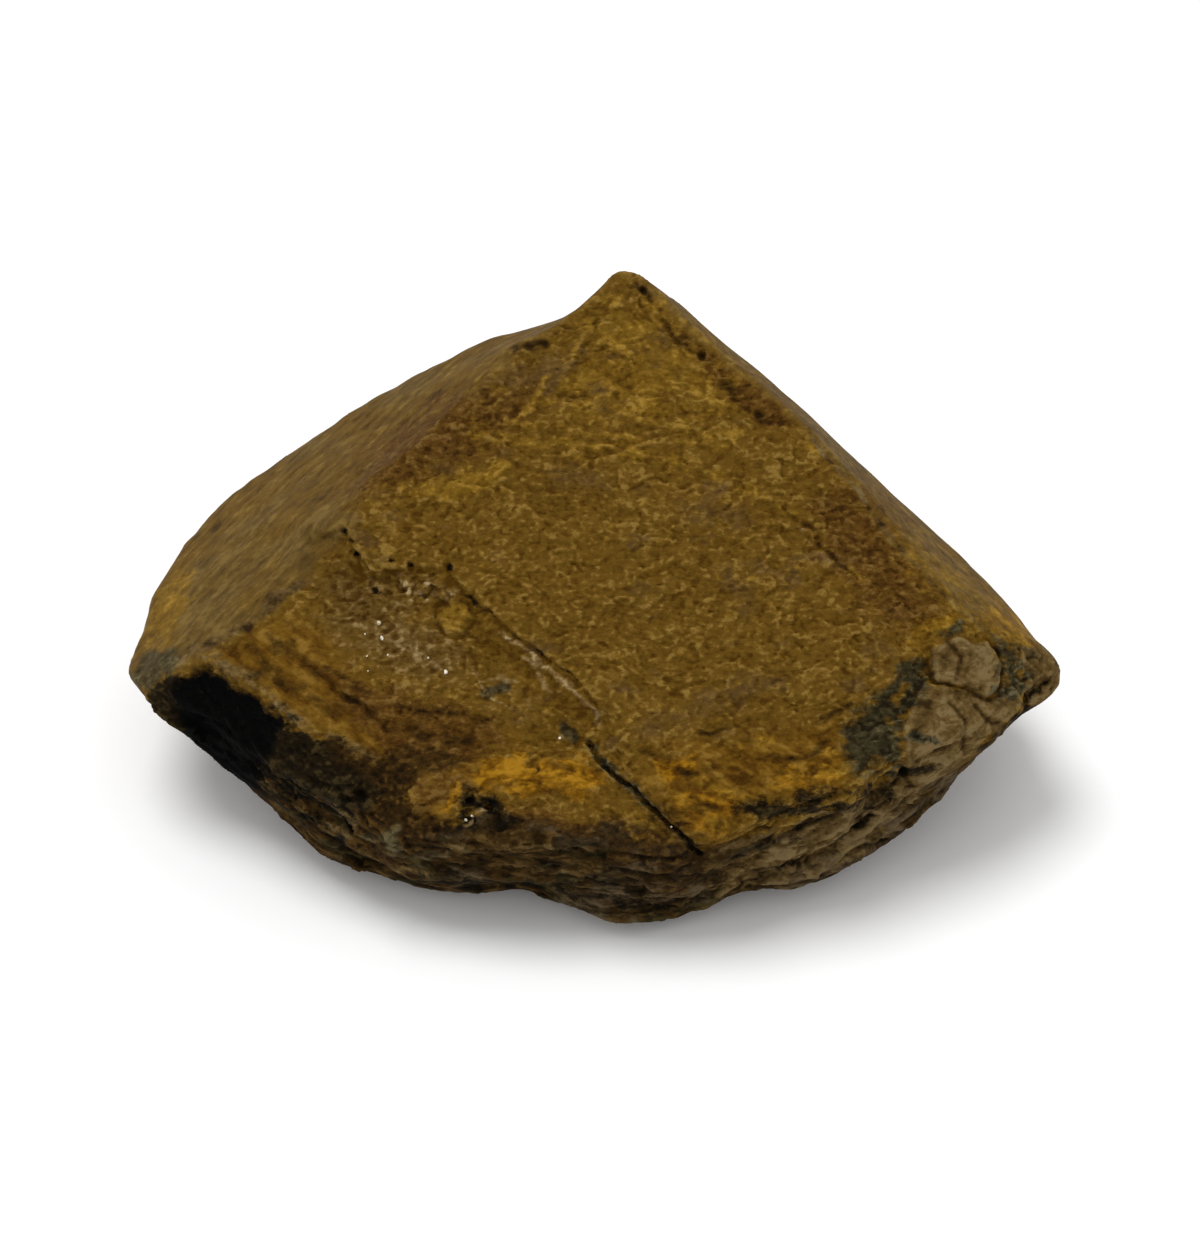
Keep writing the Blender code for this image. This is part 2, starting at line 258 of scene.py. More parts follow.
# The broad face.
VEIN_CRUMBS = [
    [(412, 494), (428, 490)], [(436, 484), (450, 480)], [(462, 474), (474, 474)], [(490, 469), (508, 467)],
    [(446, 500), (458, 496)],
]
YELLOW_VEIN = [
    (405, 490), (440, 482), (460, 470), (480, 471), (511, 466), (492, 484), (470, 496), (448, 506),
    (424, 498),
]
UPPER_THREADS = [
    [(560, 440), (600, 446), (640, 453)], [(640, 453), (700, 468), (745, 492), (800, 515)],
    [(500, 432), (540, 445), (585, 462)], [(600, 400), (650, 412), (700, 425)], [(470, 428), (492, 440)],
]
TOP_BROWN = [(345, 500), (380, 440), (445, 398), (522, 388), (532, 410), (500, 440), (450, 470), (405, 488)]
APEX_LIGHT = [
    (600, 318), (640, 306), (690, 340), (722, 400), (715, 412), (650, 400), (606, 390), (592, 352),
]
# The ledges near the apex are painted lighter: painted highlight on their edges.
APEX_LEDGES = [
    [(516, 420), (538, 398), (546, 380), (570, 362), (580, 340), (600, 324)],
    [(586, 342), (628, 352), (664, 380), (700, 398), (726, 407)], [(631, 404), (680, 402), (722, 403)],
    [(545, 404), (600, 406), (660, 422), (720, 434)], [(505, 420), (560, 428), (620, 438), (690, 446)],
]
APEX_DARKS = [
    [(646, 292), (651, 302)], [(660, 320), (666, 332)], [(596, 322), (586, 346)], [(560, 394), (590, 396)],
]
# The folds near the apex are painted darker: painted shade in their hollows.
APEX_FOLDS = [
    [(600, 352), (640, 362), (668, 384)], [(588, 366), (630, 386)], [(635, 414), (690, 416), (733, 420)],
    [(556, 332), (576, 322), (590, 316)], [(640, 304), (650, 320), (656, 332)],
]
LEFT_EDGE_SPOT = [(516, 349), (532, 347), (546, 343)]
APEX_SPOT = [(634, 284), (652, 294)]
BROWN_SEAM = [
    (656, 322), (684, 327), (706, 350), (736, 370), (764, 392), (788, 416), (790, 432), (762, 426),
    (734, 405), (718, 386), (696, 360), (663, 342),
]
SEAM_DARKS = [
    [(670, 337), (686, 344)], [(700, 354), (708, 362)], [(726, 384), (736, 395)], [(756, 414), (774, 424)],
]
RIGHT_BROWN = [
    (818, 500), (847, 488), (873, 507), (903, 547), (935, 590), (948, 612), (913, 628), (890, 634),
    (865, 607), (840, 575), (820, 540),
]
RIGHT_SPLIT = [(783, 506), (812, 530), (833, 556), (858, 582)]
# A pale line along the split's lower edge: painted highlight on the step.
RIGHT_SPLIT_EDGE = [(795, 522), (833, 564), (853, 587)]
YELLOW_FLECKS = [
    [(807, 450), (815, 455)], [(476, 430), (489, 434)], [(636, 456), (684, 462)], [(850, 572), (862, 582)],
]
GREY_SMUDGES = [
    [(646, 730), (697, 708), (735, 692), (770, 682)], [(690, 512), (745, 516)], [(560, 472), (600, 482)],
    [(730, 575), (745, 602)], [(868, 650), (890, 655)],
]
CRACK = [(590, 745), (605, 765), (633, 790), (660, 816), (700, 853)]
CRACK_MOUTH = [(612, 774), (626, 784), (640, 796)]
RIGHT_GOLDS = [
    [(765, 764), (800, 766), (840, 754), (848, 776), (800, 790), (770, 784)],
    [(672, 802), (690, 788), (716, 790), (742, 800), (728, 830), (694, 838)],
    [(652, 762), (690, 756), (700, 770), (668, 780)],
]
RIGHT_OCHRE = [
    (630, 770), (690, 745), (760, 730), (835, 722), (850, 756), (830, 784), (800, 792), (745, 797),
    (728, 832), (690, 838), (662, 805),
]
OCHRE_STREAKS = [
    [(772, 772), (806, 776), (842, 768)], [(676, 806), (700, 816), (725, 826)],
    [(588, 805), (630, 811), (668, 826)], [(700, 776), (730, 790)], [(826, 742), (838, 756)],
    [(740, 790), (760, 792)], [(735, 742), (760, 738)],
]
RED_STREAKS = [
    [(759, 757), (800, 756), (829, 741)], [(816, 718), (851, 704)], [(680, 772), (722, 768)],
    [(700, 735), (730, 728)], [(690, 798), (720, 806)], [(640, 752), (668, 760)],
]

# The block and the tip on the right.
RIGHT_YELLOW = [(908, 645), (930, 620), (952, 616), (938, 640), (920, 655)]
SLATE_PATCH = [
    (904, 664), (931, 662), (926, 693), (911, 706), (902, 728), (899, 762), (876, 775), (856, 776),
    (846, 755), (847, 730), (865, 710), (887, 684),
]
SLATE_CRUMBS = [[(893, 702), (906, 688)], [(886, 718), (892, 724)], [(868, 768), (884, 762)]]
SLATE_SPOTS = [[(936, 636), (962, 624)], [(1002, 648), (1014, 662), (1012, 682)], [(996, 690), (1016, 694)]]
BLOCK_TOP = [
    (930, 652), (940, 643), (957, 637), (974, 645), (985, 641), (1002, 664), (998, 688), (984, 697),
    (966, 686), (938, 682),
]
BLOCK_FOOT = [
    (926, 684), (968, 688), (990, 699), (1012, 692), (1022, 704), (997, 728), (957, 768), (913, 792),
    (903, 764), (904, 722), (912, 704),
]
BLOCK_RIM = [(926, 686), (910, 706), (904, 730), (905, 758)]
BLOCK_CRACKS = [
    [(928, 662), (936, 682), (964, 688), (988, 700), (1004, 694)], [(1000, 690), (1005, 668), (992, 644)],
    [(946, 642), (960, 658), (956, 680)], [(948, 702), (966, 722), (962, 748)],
    [(976, 706), (990, 722), (1000, 720)],
]
BLOCK_GREENS = [(908, 735), (922, 738), (936, 742)]
BLOCK_FOOT_DARKS = [(880, 786), (905, 774), (940, 764)]
TIP_RIDGE = [(1018, 648), (1047, 644), (1070, 662), (1068, 684), (1046, 702), (1028, 704), (1022, 676)]
TIP_SLATE = [(996, 640), (1018, 640), (1024, 662), (1024, 690), (1006, 694)]
TIP_NOTCH = [(1024, 706), (1030, 694), (1046, 684)]
TIP_PALES = [[(994, 636), (1008, 650), (1011, 672)], [(1018, 646), (1034, 656)], [(996, 700), (1010, 690)]]
TIP_YELLOW = [(978, 616), (992, 604), (1016, 608), (1040, 636), (1026, 644), (998, 634)]


def lines(runs, fade, half_width):
    return [(points, fade, half_width) for points in runs]


# A pit is painted dark over half its radius: painted shade in its hollow.
PIT_SHADE_MARKS = [([(x, y), (x + 1.0, y)], 5, 0.5 * radius) for (x, y), radius in PITS.items()]

# The minerals, and the marks that each of them covers, among them painted shade and painted highlight. A
# mark is an outline and the width in pixels over which it fades, or a line, its fade and its half width.
MINERALS_AND_PAINTED_LIGHT = {
    "satin": [(LEFT_BEVEL, 30), (RIGHT_BEVEL, 16)],
    # Fawn stone, with painted highlight on the ledge edges of the broken layers.
    "fawn": [
        (BLOCK_TOP, 10), (BLOCK_FOOT, 12), (TIP_STREAK, 34, 4), (SHOULDER_RIM, 44, 4), (BLOCK_RIM, 6, 0.5),
        (TIP_RIDGE, 12), (RIGHT_BEVEL_EDGE, 12, 2), (RIGHT_PALE, 120), *lines(RIGHT_LEDGES, 18, 1),
        *lines(LEFT_LIGHTS, 14, 2), *lines(FRONT_LIGHTS, 30, 0),
    ],
    "dusk": lines(GREY_SMUDGES, 36, 5),
    # Straw-yellow stone, with painted highlight on the apex ledges.
    "straw": [
        (LEFT_YELLOW, 26), (RIGHT_YELLOW, 16), (YELLOW_VEIN, 18), (TIP_YELLOW, 16), (NODULE, 14),
        (APEX_LIGHT, 150), (BEVEL_GOLD, 60), *lines(SLATE_CRUMBS, 10, 2), *lines(YELLOW_FLECKS, 14, 2),
        *lines(UPPER_THREADS, 26, 1), *lines(OCHRE_STREAKS, 30, 2), *lines(APEX_LEDGES, 10, 1.5),
        *lines(VEIN_CRUMBS, 9, 3),
    ],
    "amber": [(SHOULDER, 50), (OCHRE_BAND, 30), (RIGHT_OCHRE, 60)],
    "ochre": [
        (OCHRE_MAIN, 34), (OCHRE_HEART, 26), (OCHRE_END, 20, 2), (TIP_YELLOW, 30), (RIGHT_YELLOW, 30),
        *[(outline, 34) for outline in RIGHT_GOLDS], *lines(OCHRE_STREAKS, 24, 1),
    ],
    # Umber stone, with painted shade in the apex folds.
    "umber": [
        (BROWN_SEAM, 9), (RIGHT_BROWN, 60), (SHOULDER_BROWN, 30), (TOP_BROWN, 60), (BAND_LEFT, 24),
        (OLIVE_FRINGE, 40), *lines(APEX_FOLDS, 14, 1.5),
    ],
    # Soot-dark stone, with painted shade under the tip, in the trail below the shoulder, in the pits and in
    # the gaps below ledges.
    "soot": [
        (BLACK_TRAIL, 36), (TIP_UNDERSIDE, 16), (STEP_CREVICE, 6, 0.7), (EDGE_DARKS, 50),
        (BLOCK_GREENS, 10, 1), (TIP_NOTCH, 12, 3), (BLOCK_FOOT_DARKS, 14, 1), (VUG_TRAIL, 26, 4),
        *lines(VUG, 24, 7), *PIT_SHADE_MARKS, *lines(LEFT_DARKS, 16, 3), *lines(FRONT_DARKS, 30, 4),
        *lines(RIGHT_GAPS, 16, 1),
    ],
    # Dark brown stone, with painted shade in the trail's foot and at the front.
    "bark": [
        (LEFT_EDGE_SPOT, 12, 4), (APEX_SPOT, 8, 4), (RIGHT_SPLIT, 8, 0.5), (TRAIL_FOOT, 26),
        (FRONT_SHADE, 110), (BAND_FOOT, 20, 1), (NODULE_RIM, 6, 0.5), *lines(SEAM_DARKS, 18, 2.5),
        *lines(SHOULDER_DARKS, 30, 2), *lines(RED_STREAKS, 14, 2), *lines(APEX_DARKS, 12, 0),
        *lines(BLOCK_CRACKS, 9, 1.5),
    ],
    "slate": [
        (SLATE_PATCH, 34), (TIP_SLATE, 40), (BLOCK_GREENS, 10, 4), (CRACK, 14, 4),
        *lines(SLATE_SPOTS, 14, 4), *lines(FRONT_GREENS, 30, 3),
    ],
    "sage": [
        (TIP_HEAD, 16), (GREY_FLAKE, 16), (CRACK_MOUTH, 18, 4), *lines(GREEN_SPOTS, 12, 5),
        *lines(TIP_PALES, 14, 2),
    ],
    # Black stone, with painted shadow in the black patch.
    "black": [(BLACK_PATCH, 30), (CRACK, 4, 0.3), *lines(VUG, 9, 2)],
    # Cream stone, with painted highlight along the right split's edge.
    "cream": [
        (STEP_EDGE, 9, 2), (PALE_ZIGZAG, 8, 1), (RIGHT_SPLIT_EDGE, 7, 0), *lines(PALE_LINES, 7, 1),
        *lines(VUG_CRUMBS, 6, 2),
    ],
    "crumbs": [(DRUSE_GRAINS, 20)],
    "druse": [(DRUSE_FLOOR, 50)],
    "layered": [(LOWER_BAND, 16), (LOWER_RIGHT, 22)],
}


def raised(proud, marks):
    return [(proud, *mark) for mark in marks]


# How far marks stand proud of the stone, or lie below it.
RAISED = [
    (0.34, BLOCK_TOP, 4), (0.26, BLOCK_FOOT, 5), (-0.14, BROWN_SEAM, 14), (0.30, OCHRE_BAND, 16),
    (-0.8, CRACK, 6, 1.2), (-0.30, RIGHT_SPLIT, 8, 0.5), (0.12, STEP_EDGE, 9, 2.0),
    (0.12, PALE_ZIGZAG, 9, 1.0), (0.30, NODULE, 12), (-0.20, NODULE_RIM, 7, 0.5),
    (0.45, SHOULDER_RIM, 30, 2.0), (-0.30, BLACK_PATCH, 20), (-0.30, SLATE_PATCH, 14),
    (0.30, GREY_FLAKE, 8), (0.14, YELLOW_VEIN, 12), (-0.50, TIP_NOTCH, 10, 2.0),
    (0.12, TIP_STREAK, 16, 2.0), (0.05, TIP_RIDGE, 14), (-0.20, LEFT_EDGE_SPOT, 10, 3.0),
    *raised(0.40, lines(LEFT_LIGHTS + RIGHT_LEDGES, 12, 2.0)),
    *raised(-0.40, lines(LEFT_DARKS + RIGHT_GAPS, 12, 2.0)),
    *raised(-0.15, lines(FRONT_DARKS, 16, 3.0)),
    *raised(-0.25, lines(BLOCK_CRACKS, 8, 1.0)),
    *raised(-0.14, lines(SEAM_DARKS, 12, 2.0)),
    *raised(0.20, lines(APEX_LEDGES, 14, 2.0)),
    *raised(0.14, lines(UPPER_THREADS, 11, 1.5)),
    *raised(-0.22, lines(APEX_DARKS + APEX_FOLDS + RED_STREAKS, 12, 1.0)),
    *raised(-0.25, lines(SHOULDER_DARKS, 16, 1.0)),
]
MOST_COVER = 1.35  # how far a mark's cover rises, deep inside it

# Forms that have a relief of their own.
BEVELS = (LEFT_BEVEL, 24), (RIGHT_BEVEL, 18)
BLOCK = (BLOCK_TOP, 12), (BLOCK_FOOT, 12)

# The share of the usual roughness that each of these lacks.
SHOULDER_CALM, APEX_CALM, BLOCK_CALM = 0.5, 0.4, 0.6

# The bed of the missing sheet: its depth at the edge, and the pixels over which it rises to the face again.
SHEET_DEPTH = 0.4
SHEET_RISE = (5.0, 75.0)

# The depth of pits for each pixel of their radius, and the shares of the radius between which they rise.
PIT_DEPTH = 0.08
PIT_FOOT, PIT_RIM = 0.2, 1.2

# Facings, from -1 turned away to 1 towards the camera, between which something fades in.
SEEN_FROM = (-0.25, 0.0)
WORN_FROM = (-0.7, -0.4)
# Facings, from 0 across the layers to 1 along them, between which broken stone turns whole.
WHOLE_FROM = (0.6, 0.85)
# Where relief is held back: at the outline, by facing, and at the foot, by height above the floor.
OUTLINE_SHARE = 0.08
OUTLINE_ZONE = (0.08, 0.50)
FOOT_ZONE = (0.05, 0.6)

# A texture of the relief: the height and wave lengths in millimetres, the seed and the octaves.
Texture = namedtuple("Texture", "height lengths seed octaves axes", defaults=(1, LAYER_AXES))

# Textures that push places or pixels about. Their height is the push, and they have a seed for each way.
BENDING = Texture(0.5, (3.0, 3.0, 3.0), (1.5, 2.5, 3.5), 2)
DRIFTING = Texture(5.0, (2.2, 2.0, 1.8), (47.0, 53.0), 3)
BLOCK_STEADIER = 3.5  # pixels less on the block

# Out of the camera's sight, each mineral lies in patches of a noise with its own seed.
HIDDEN_PATCHES = Texture(1.0, (10.0, 10.0, 5.0), 67.0, 3)
HIDDEN_SEED_STEP = 5.0
HIDDEN_FROM = (0.55, 1.3)

# The sheets of the broad face, and the ledges of the broken layers.
SHEET_COUNT = 4.0  # in one wave of the face
SHEET_HEIGHT, APEX_SHEETS = 0.09, 0.12  # and what the apex adds to it
LEDGE_SPACING, LEDGE_SWAY = 1.9, 0.9
TREAD_EDGE = 0.78  # the share of a sheet at which its edge begins


# Chance and noise.

CHANCE = np.random.default_rng(STONE_SEED)
DRAWS = 256
SHUFFLE = CHANCE.permutation(DRAWS)
SLOPES = CHANCE.normal(size=(DRAWS, 3))
SLOPES /= np.linalg.norm(SLOPES, axis=1)[:, None]
HEARTS = CHANCE.random((DRAWS, 3))
LEVEL_SWAY = 0.35
LEVELS = CHANCE.uniform(-LEVEL_SWAY, LEVEL_SWAY, DRAWS)
WAVE_GAIN = 1.6  # brings the waves up to about -1 and 1
OCTAVE_SHIFT = 17.0


def smooth_step(values, low, high):
    share = np.clip((values - low) / (high - low), 0.0, 1.0)
    return share * share * (3.0 - 2.0 * share)


def picked(cells):
    """An even draw for each cell of a grid."""
    draw = SHUFFLE[cells[:, 0] % DRAWS]
    draw = SHUFFLE[(draw + cells[:, 1]) % DRAWS]
    return SHUFFLE[(draw + cells[:, 2]) % DRAWS]


def waves(laid):
    """Smooth noise between about -1 and 1, with one wave to a cell."""
    home = np.floor(laid).astype(int)
    inside = laid - home
    eased = inside**3 * (inside * (inside * 6.0 - 15.0) + 10.0)
    total = np.zeros(len(laid))
    for corner in itertools.product((0, 1), repeat=3):
        pull = ((inside - corner) * SLOPES[picked(home + corner)]).sum(axis=1)
        total += pull * np.where(corner, eased, 1.0 - eased).prod(axis=1)
    return WAVE_GAIN * total


def laid_out(places, texture):
    """Places along a texture's axes, in its wave lengths."""
    laid = [places @ axis / length for axis, length in zip(texture.axes, texture.lengths)]
    return np.stack(laid, axis=1) + texture.seed


def octave_waves(places, texture):
    """The waves of each octave, and the share that it adds."""
    laid = laid_out(places, texture)
    for octave in range(texture.octaves):
        yield waves(laid * 2.0**octave + OCTAVE_SHIFT * octave), 0.5**octave


def fractal(places, texture):
    return sum(wave * share for wave, share in octave_waves(places, texture))


def ridges(places, texture):
    """Noise with sharp crests, from about -1 to 1."""
    return sum(2.0 * (0.5 - np.abs(wave)) * share for wave, share in octave_waves(places, texture))


def pushes(places, texture):
    """A noise for each of a texture's seeds, side by side."""
    return np.stack([fractal(places, texture._replace(seed=seed)) for seed in texture.seed], axis=1)


def chips(places, texture):
    """Flat tilted facets with sharp steps between them, as where small chips have come away."""
    laid = laid_out(places, texture)
    home = np.floor(laid).astype(int)
    nearest = np.full(len(laid), np.inf)
    facets = np.zeros(len(laid))
    for offset in itertools.product((-1, 0, 1), repeat=3):
        cells = home + offset
        draw = picked(cells)
        gap = laid - cells - HEARTS[draw]
        reach = (gap * gap).sum(axis=1)
        nearer = reach < nearest
        nearest[nearer] = reach[nearer]
        facets[nearer] = (gap * SLOPES[draw]).sum(axis=1)[nearer] + LEVELS[draw][nearer]
    return facets


def treads(swell):
    """Cuts a swell into sheets that lie one on another, each with a broken edge."""
    share = swell - np.floor(swell)
    return smooth_step(share, TREAD_EDGE, 1.0) - share + 0.5


def sheets(places, texture):
    return treads(SHEET_COUNT * fractal(places, texture))


def ledges(places, texture):
    return treads(places @ BEDDING / LEDGE_SPACING + LEDGE_SWAY * fractal(places, texture))


# The noise and texture that roughen each kind of surface. On some of them, places are bent first.
ROUGHNESS = [
    ("all", fractal, 0.04, (0.7, 0.7, 0.7), 5.0, 2),
    ("face", chips, 0.12, (2.6, 1.9, 1.6), 13.0),
    ("face", chips, 0.11, (0.75, 0.6, 0.6), 19.0),
    ("face", ridges, 0.03, (0.7, 0.5, 0.5), 23.0, 2),
    ("sheets", sheets, 1.0, (7.0, 3.5, 3.5), 27.0, 3),
    ("worn", fractal, 0.05, (3.0, 0.7, 0.7), 29.0, 3, BEVEL_AXES),
    ("worn", ridges, 0.02, (2.5, 1.5, 1.5), 30.0, 3),
    ("broken", ridges, 0.12, (6.0, 6.0, 1.2), 31.0, 2),
    ("broken", chips, 0.26, (3.4, 3.4, 1.3), 37.0),
    ("broken", chips, 0.12, (1.3, 1.3, 0.6), 41.0),
    ("ledges", ledges, 0.30, (8.0, 8.0, 4.0), 42.0, 3),
    ("druse", fractal, 0.12, (0.6, 0.6, 0.6), 43.0, 2),
    ("grains", chips, 0.30, (0.55, 0.55, 0.55), 44.0),
]
BENT_KINDS = ("face", "sheets", "broken")
SWELLS = Texture(0.06, (5.0, 5.0, 5.0), 9.0, 2)


# Marks on the stone.

def to_image(places):
    """Where places in millimetres fall in the camera's image."""
    offset = places - EYE
    depth = offset @ AHEAD
    across = IMAGE_WIDTH / 2 + FOCAL_PIXELS * (offset @ RIGHT) / depth
    down = IMAGE_HEIGHT / 2 - FOCAL_PIXELS * (offset @ UP) / depth
    return np.stack([across, down], axis=1)


def from_line(spots, points):
    """Distance in pixels from each spot to a line of points."""
    gaps = np.full(len(spots), np.inf)
    for start, end in zip(points, points[1:]):
        along = np.subtract(end, start).astype(float)
        offset = spots - start
        share = np.clip(offset @ along / (along @ along), 0.0, 1.0)
        gaps = np.minimum(gaps, np.linalg.norm(offset - share[:, None] * along, axis=1))
    return gaps


def from_outline(spots, outline):
    """Distance in pixels outside a closed outline, negative inside it."""
    inside = np.zeros(len(spots), bool)
    for (ax, ay), (bx, by) in zip(outline, outline[1:] + outline[:1]):
        if ay == by:
            continue
        spans = (ay > spots[:, 1]) != (by > spots[:, 1])
        crossing = ax + (spots[:, 1] - ay) * (bx - ax) / (by - ay)
        inside ^= spans & (spots[:, 0] < crossing)
    gaps = from_line(spots, outline + outline[:1])
    return np.where(inside, -gaps, gaps)


def mark_cover(spots, points, fade, half_width=None):
    """0 outside a mark, 0.5 on its edge, 1 inside it and a little more deep inside."""
    if half_width is None:
        gap = from_outline(spots, points)
    else:
        gap = from_line(spots, points) - half_width
    return np.clip(0.5 - gap / fade, 0.0, MOST_COVER)


def most_cover(spots, marks):
    return np.maximum.reduce([mark_cover(spots, *mark) for mark in marks])


def drifted(places, spots):
    """Spots moved a few pixels about, less so on the block, so that marks have ragged edges."""
    reach = DRIFTING.height - BLOCK_STEADIER * np.minimum(most_cover(spots, BLOCK), 1.0)
    return spots + reach[:, None] * pushes(places, DRIFTING)


# The fine mesh.

def link(made):
    bpy.context.scene.collection.objects.link(made)
    return made


def read_places(mesh):
    places = np.zeros(len(mesh.vertices) * 3)
    mesh.vertices.foreach_get("co", places)
    facings = np.zeros(len(mesh.vertices) * 3)
    mesh.vertex_normals.foreach_get("vector", facings)
    return places.reshape(-1, 3) / MM, facings.reshape(-1, 3)


def facing_camera(places, facings):
    """1 where the surface faces the camera, 0 edge on and -1 turned away."""
    towards = EYE - places
    towards /= np.linalg.norm(towards, axis=1)[:, None]
    return (towards * facings).sum(axis=1)


def seen_share(places, facings):
    """1 where the camera sees the surface, fading to 0 just past the stone's outline."""
    return smooth_step(facing_camera(places, facings), *SEEN_FROM)


def apply_modifiers(made):
    graph = bpy.context.evaluated_depsgraph_get()
    mesh = bpy.data.meshes.new_from_object(made.evaluated_get(graph))
    made.modifiers.clear()
    made.data = mesh


def fine_stone():
    """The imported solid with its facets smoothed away, on an even fine grid."""
    mesh = bpy.data.meshes.new("jasper_stone")
    shell = bmesh.new()
    shell.from_mesh(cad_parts[NODE].data)
    bmesh.ops.remove_doubles(shell, verts=shell.verts, dist=1e-6)
    shell.to_mesh(mesh)
    shell.free()
    stone = link(bpy.data.objects.new("jasper_stone", mesh))
    rounding = stone.modifiers.new("rounding", "SUBSURF")
    rounding.levels = 2
    grid = stone.modifiers.new("grid", "REMESH")
    grid.mode = "VOXEL"
    grid.voxel_size = VOXEL * MM
    easing = stone.modifiers.new("easing", "SMOOTH")
    easing.factor = 0.5
    easing.iterations = 4
    apply_modifiers(stone)
    return stone


def thin_out(stone):
    """Fewer triangles, taken mostly from the sides that are turned away."""
    places, facings = read_places(stone.data)
    hidden = np.round(1.0 - seen_share(places, facings))
    group = stone.vertex_groups.new(name="turned_away")
    for side, weight in enumerate((SEEN_THINNING, HIDDEN_THINNING)):
        group.add(np.flatnonzero(hidden == side).tolist(), weight, "REPLACE")
    triangles = sum(len(face.vertices) - 2 for face in stone.data.polygons)
    thinning = stone.modifiers.new("thinning", "DECIMATE")
    thinning.ratio = MOST_TRIANGLES / triangles
    thinning.vertex_group = group.name
    thinning.vertex_group_factor = 1.0
    thinning.use_collapse_triangulate = True
    apply_modifiers(stone)
    stone.vertex_groups.clear()


# The stone's relief.

def surface_kinds(places, facings, spots):
    """How far each place is worn smooth, and how far it is broken across the layers."""
    reached = smooth_step(facing_camera(places, facings), *WORN_FROM)
    worn = reached * np.minimum(most_cover(spots, BEVELS), 1.0)
    across_layers = 1.0 - smooth_step(np.abs(facings @ BEDDING), *WHOLE_FROM)
    return worn, across_layers * (1.0 - worn)


def textured(places, facings, spots):
    """The height in millimetres of the stone's grain, flakes and broken layers."""
    seen = seen_share(places, facings)
    worn, broken = surface_kinds(places, facings, spots)
    block = seen * np.minimum(most_cover(spots, BLOCK), 1.0)
    apex = seen * mark_cover(spots, APEX_LIGHT, fade=120)
    face = (1.0 - worn) * (1.0 - broken)
    face *= 1.0 - SHOULDER_CALM * (seen * mark_cover(spots, SHOULDER, fade=50))
    face *= 1.0 - APEX_CALM * apex
    face *= 1.0 - BLOCK_CALM * block
    broken *= 1.0 - BLOCK_CALM * block
    shares = {
        "all": 1.0, "face": face, "sheets": face * (SHEET_HEIGHT + APEX_SHEETS * apex), "worn": worn,
        "broken": broken, "ledges": broken, "druse": seen * mark_cover(spots, DRUSE_FLOOR, fade=30),
        "grains": seen * mark_cover(spots, DRUSE_GRAINS, fade=20),
    }
    bent = places + BENDING.height * pushes(places, BENDING)
    height = np.zeros(len(places))
    for kind, noise, *form in ROUGHNESS:
        texture = Texture(*form)
        height += shares[kind] * texture.height * noise(bent if kind in BENT_KINDS else places, texture)
    inside_outline = smooth_step(np.abs(facing_camera(places, facings)), *OUTLINE_ZONE)
    height *= OUTLINE_SHARE + (1.0 - OUTLINE_SHARE) * inside_outline
    return height + SWELLS.height * fractal(places, SWELLS)


def relief(places, facings):
    """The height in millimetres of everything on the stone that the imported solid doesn't have."""
    spots = to_image(places)
    seen = seen_share(places, facings)
    height = textured(places, facings, spots)
    ragged_spots = drifted(places, spots)
    for proud, *mark in RAISED:
        height += seen * proud * smooth_step(mark_cover(ragged_spots, *mark), 0.0, 1.0)
    near_edge = 1.0 - smooth_step(from_line(spots, SHEET_EDGE), *SHEET_RISE)
    bed = smooth_step(mark_cover(ragged_spots, SHEET_GONE, fade=6), 0.0, 1.0)
    height -= seen * SHEET_DEPTH * near_edge * bed
    for centre, radius in PITS.items():
        gap = np.linalg.norm(spots - centre, axis=1)
        height -= seen * PIT_DEPTH * radius * (1.0 - smooth_step(gap, PIT_FOOT * radius, PIT_RIM * radius))
    return height * smooth_step(places[:, 2], *FOOT_ZONE)


FULL_RELIEF = 0.35  # the height or depth at which the stored relief is full
CREST_GAIN = 0.2


def add_relief(mesh):
    places, facings = read_places(mesh)
    height = relief(places, facings)
    moved = places + facings * height[:, None]
    moved[:, 2] = np.maximum(moved[:, 2], 0.0)
    mesh.vertices.foreach_set("co", (moved * MM).ravel())
    mesh.update()
    # The stored relief and crests later paint the tone lighter where the stone is raised and darker where
    # it is sunk: painted highlight and shade.
    store(mesh, "relief", np.clip(0.5 + 0.5 * height / FULL_RELIEF, 0.0, 1.0))
    store(mesh, "crest", crests(mesh))


def store(mesh, name, values):
    attribute = mesh.attributes.new(name, "FLOAT", "POINT")
    attribute.data.foreach_set("value", values)


def crests(mesh):
    """0.5 on flat stone, up to 1 on sharp crests and down to 0 in crevices."""
    places, facings = read_places(mesh)
    ends = np.zeros(len(mesh.edges) * 2, dtype=np.int32)
    mesh.edges.foreach_get("vertices", ends)
    ends = ends.reshape(-1, 2)
    bulge = (places - near_mean(places, ends)) * facings
    bulge = bulge.sum(axis=1, keepdims=True)
    bulge = (0.5 * bulge + 0.5 * near_mean(bulge, ends))[:, 0]
    return np.clip(0.5 + CREST_GAIN * bulge / bulge.std(), 0.0, 1.0)


def near_mean(values, ends):
    """The mean of each point's neighbours along the mesh's edges."""
    total = np.zeros_like(values)
    count = np.zeros((len(values), 1))
    for near, far in ((0, 1), (1, 0)):
        np.add.at(total, ends[:, near], values[ends[:, far]])
        np.add.at(count, ends[:, near], 1.0)
    return total / count


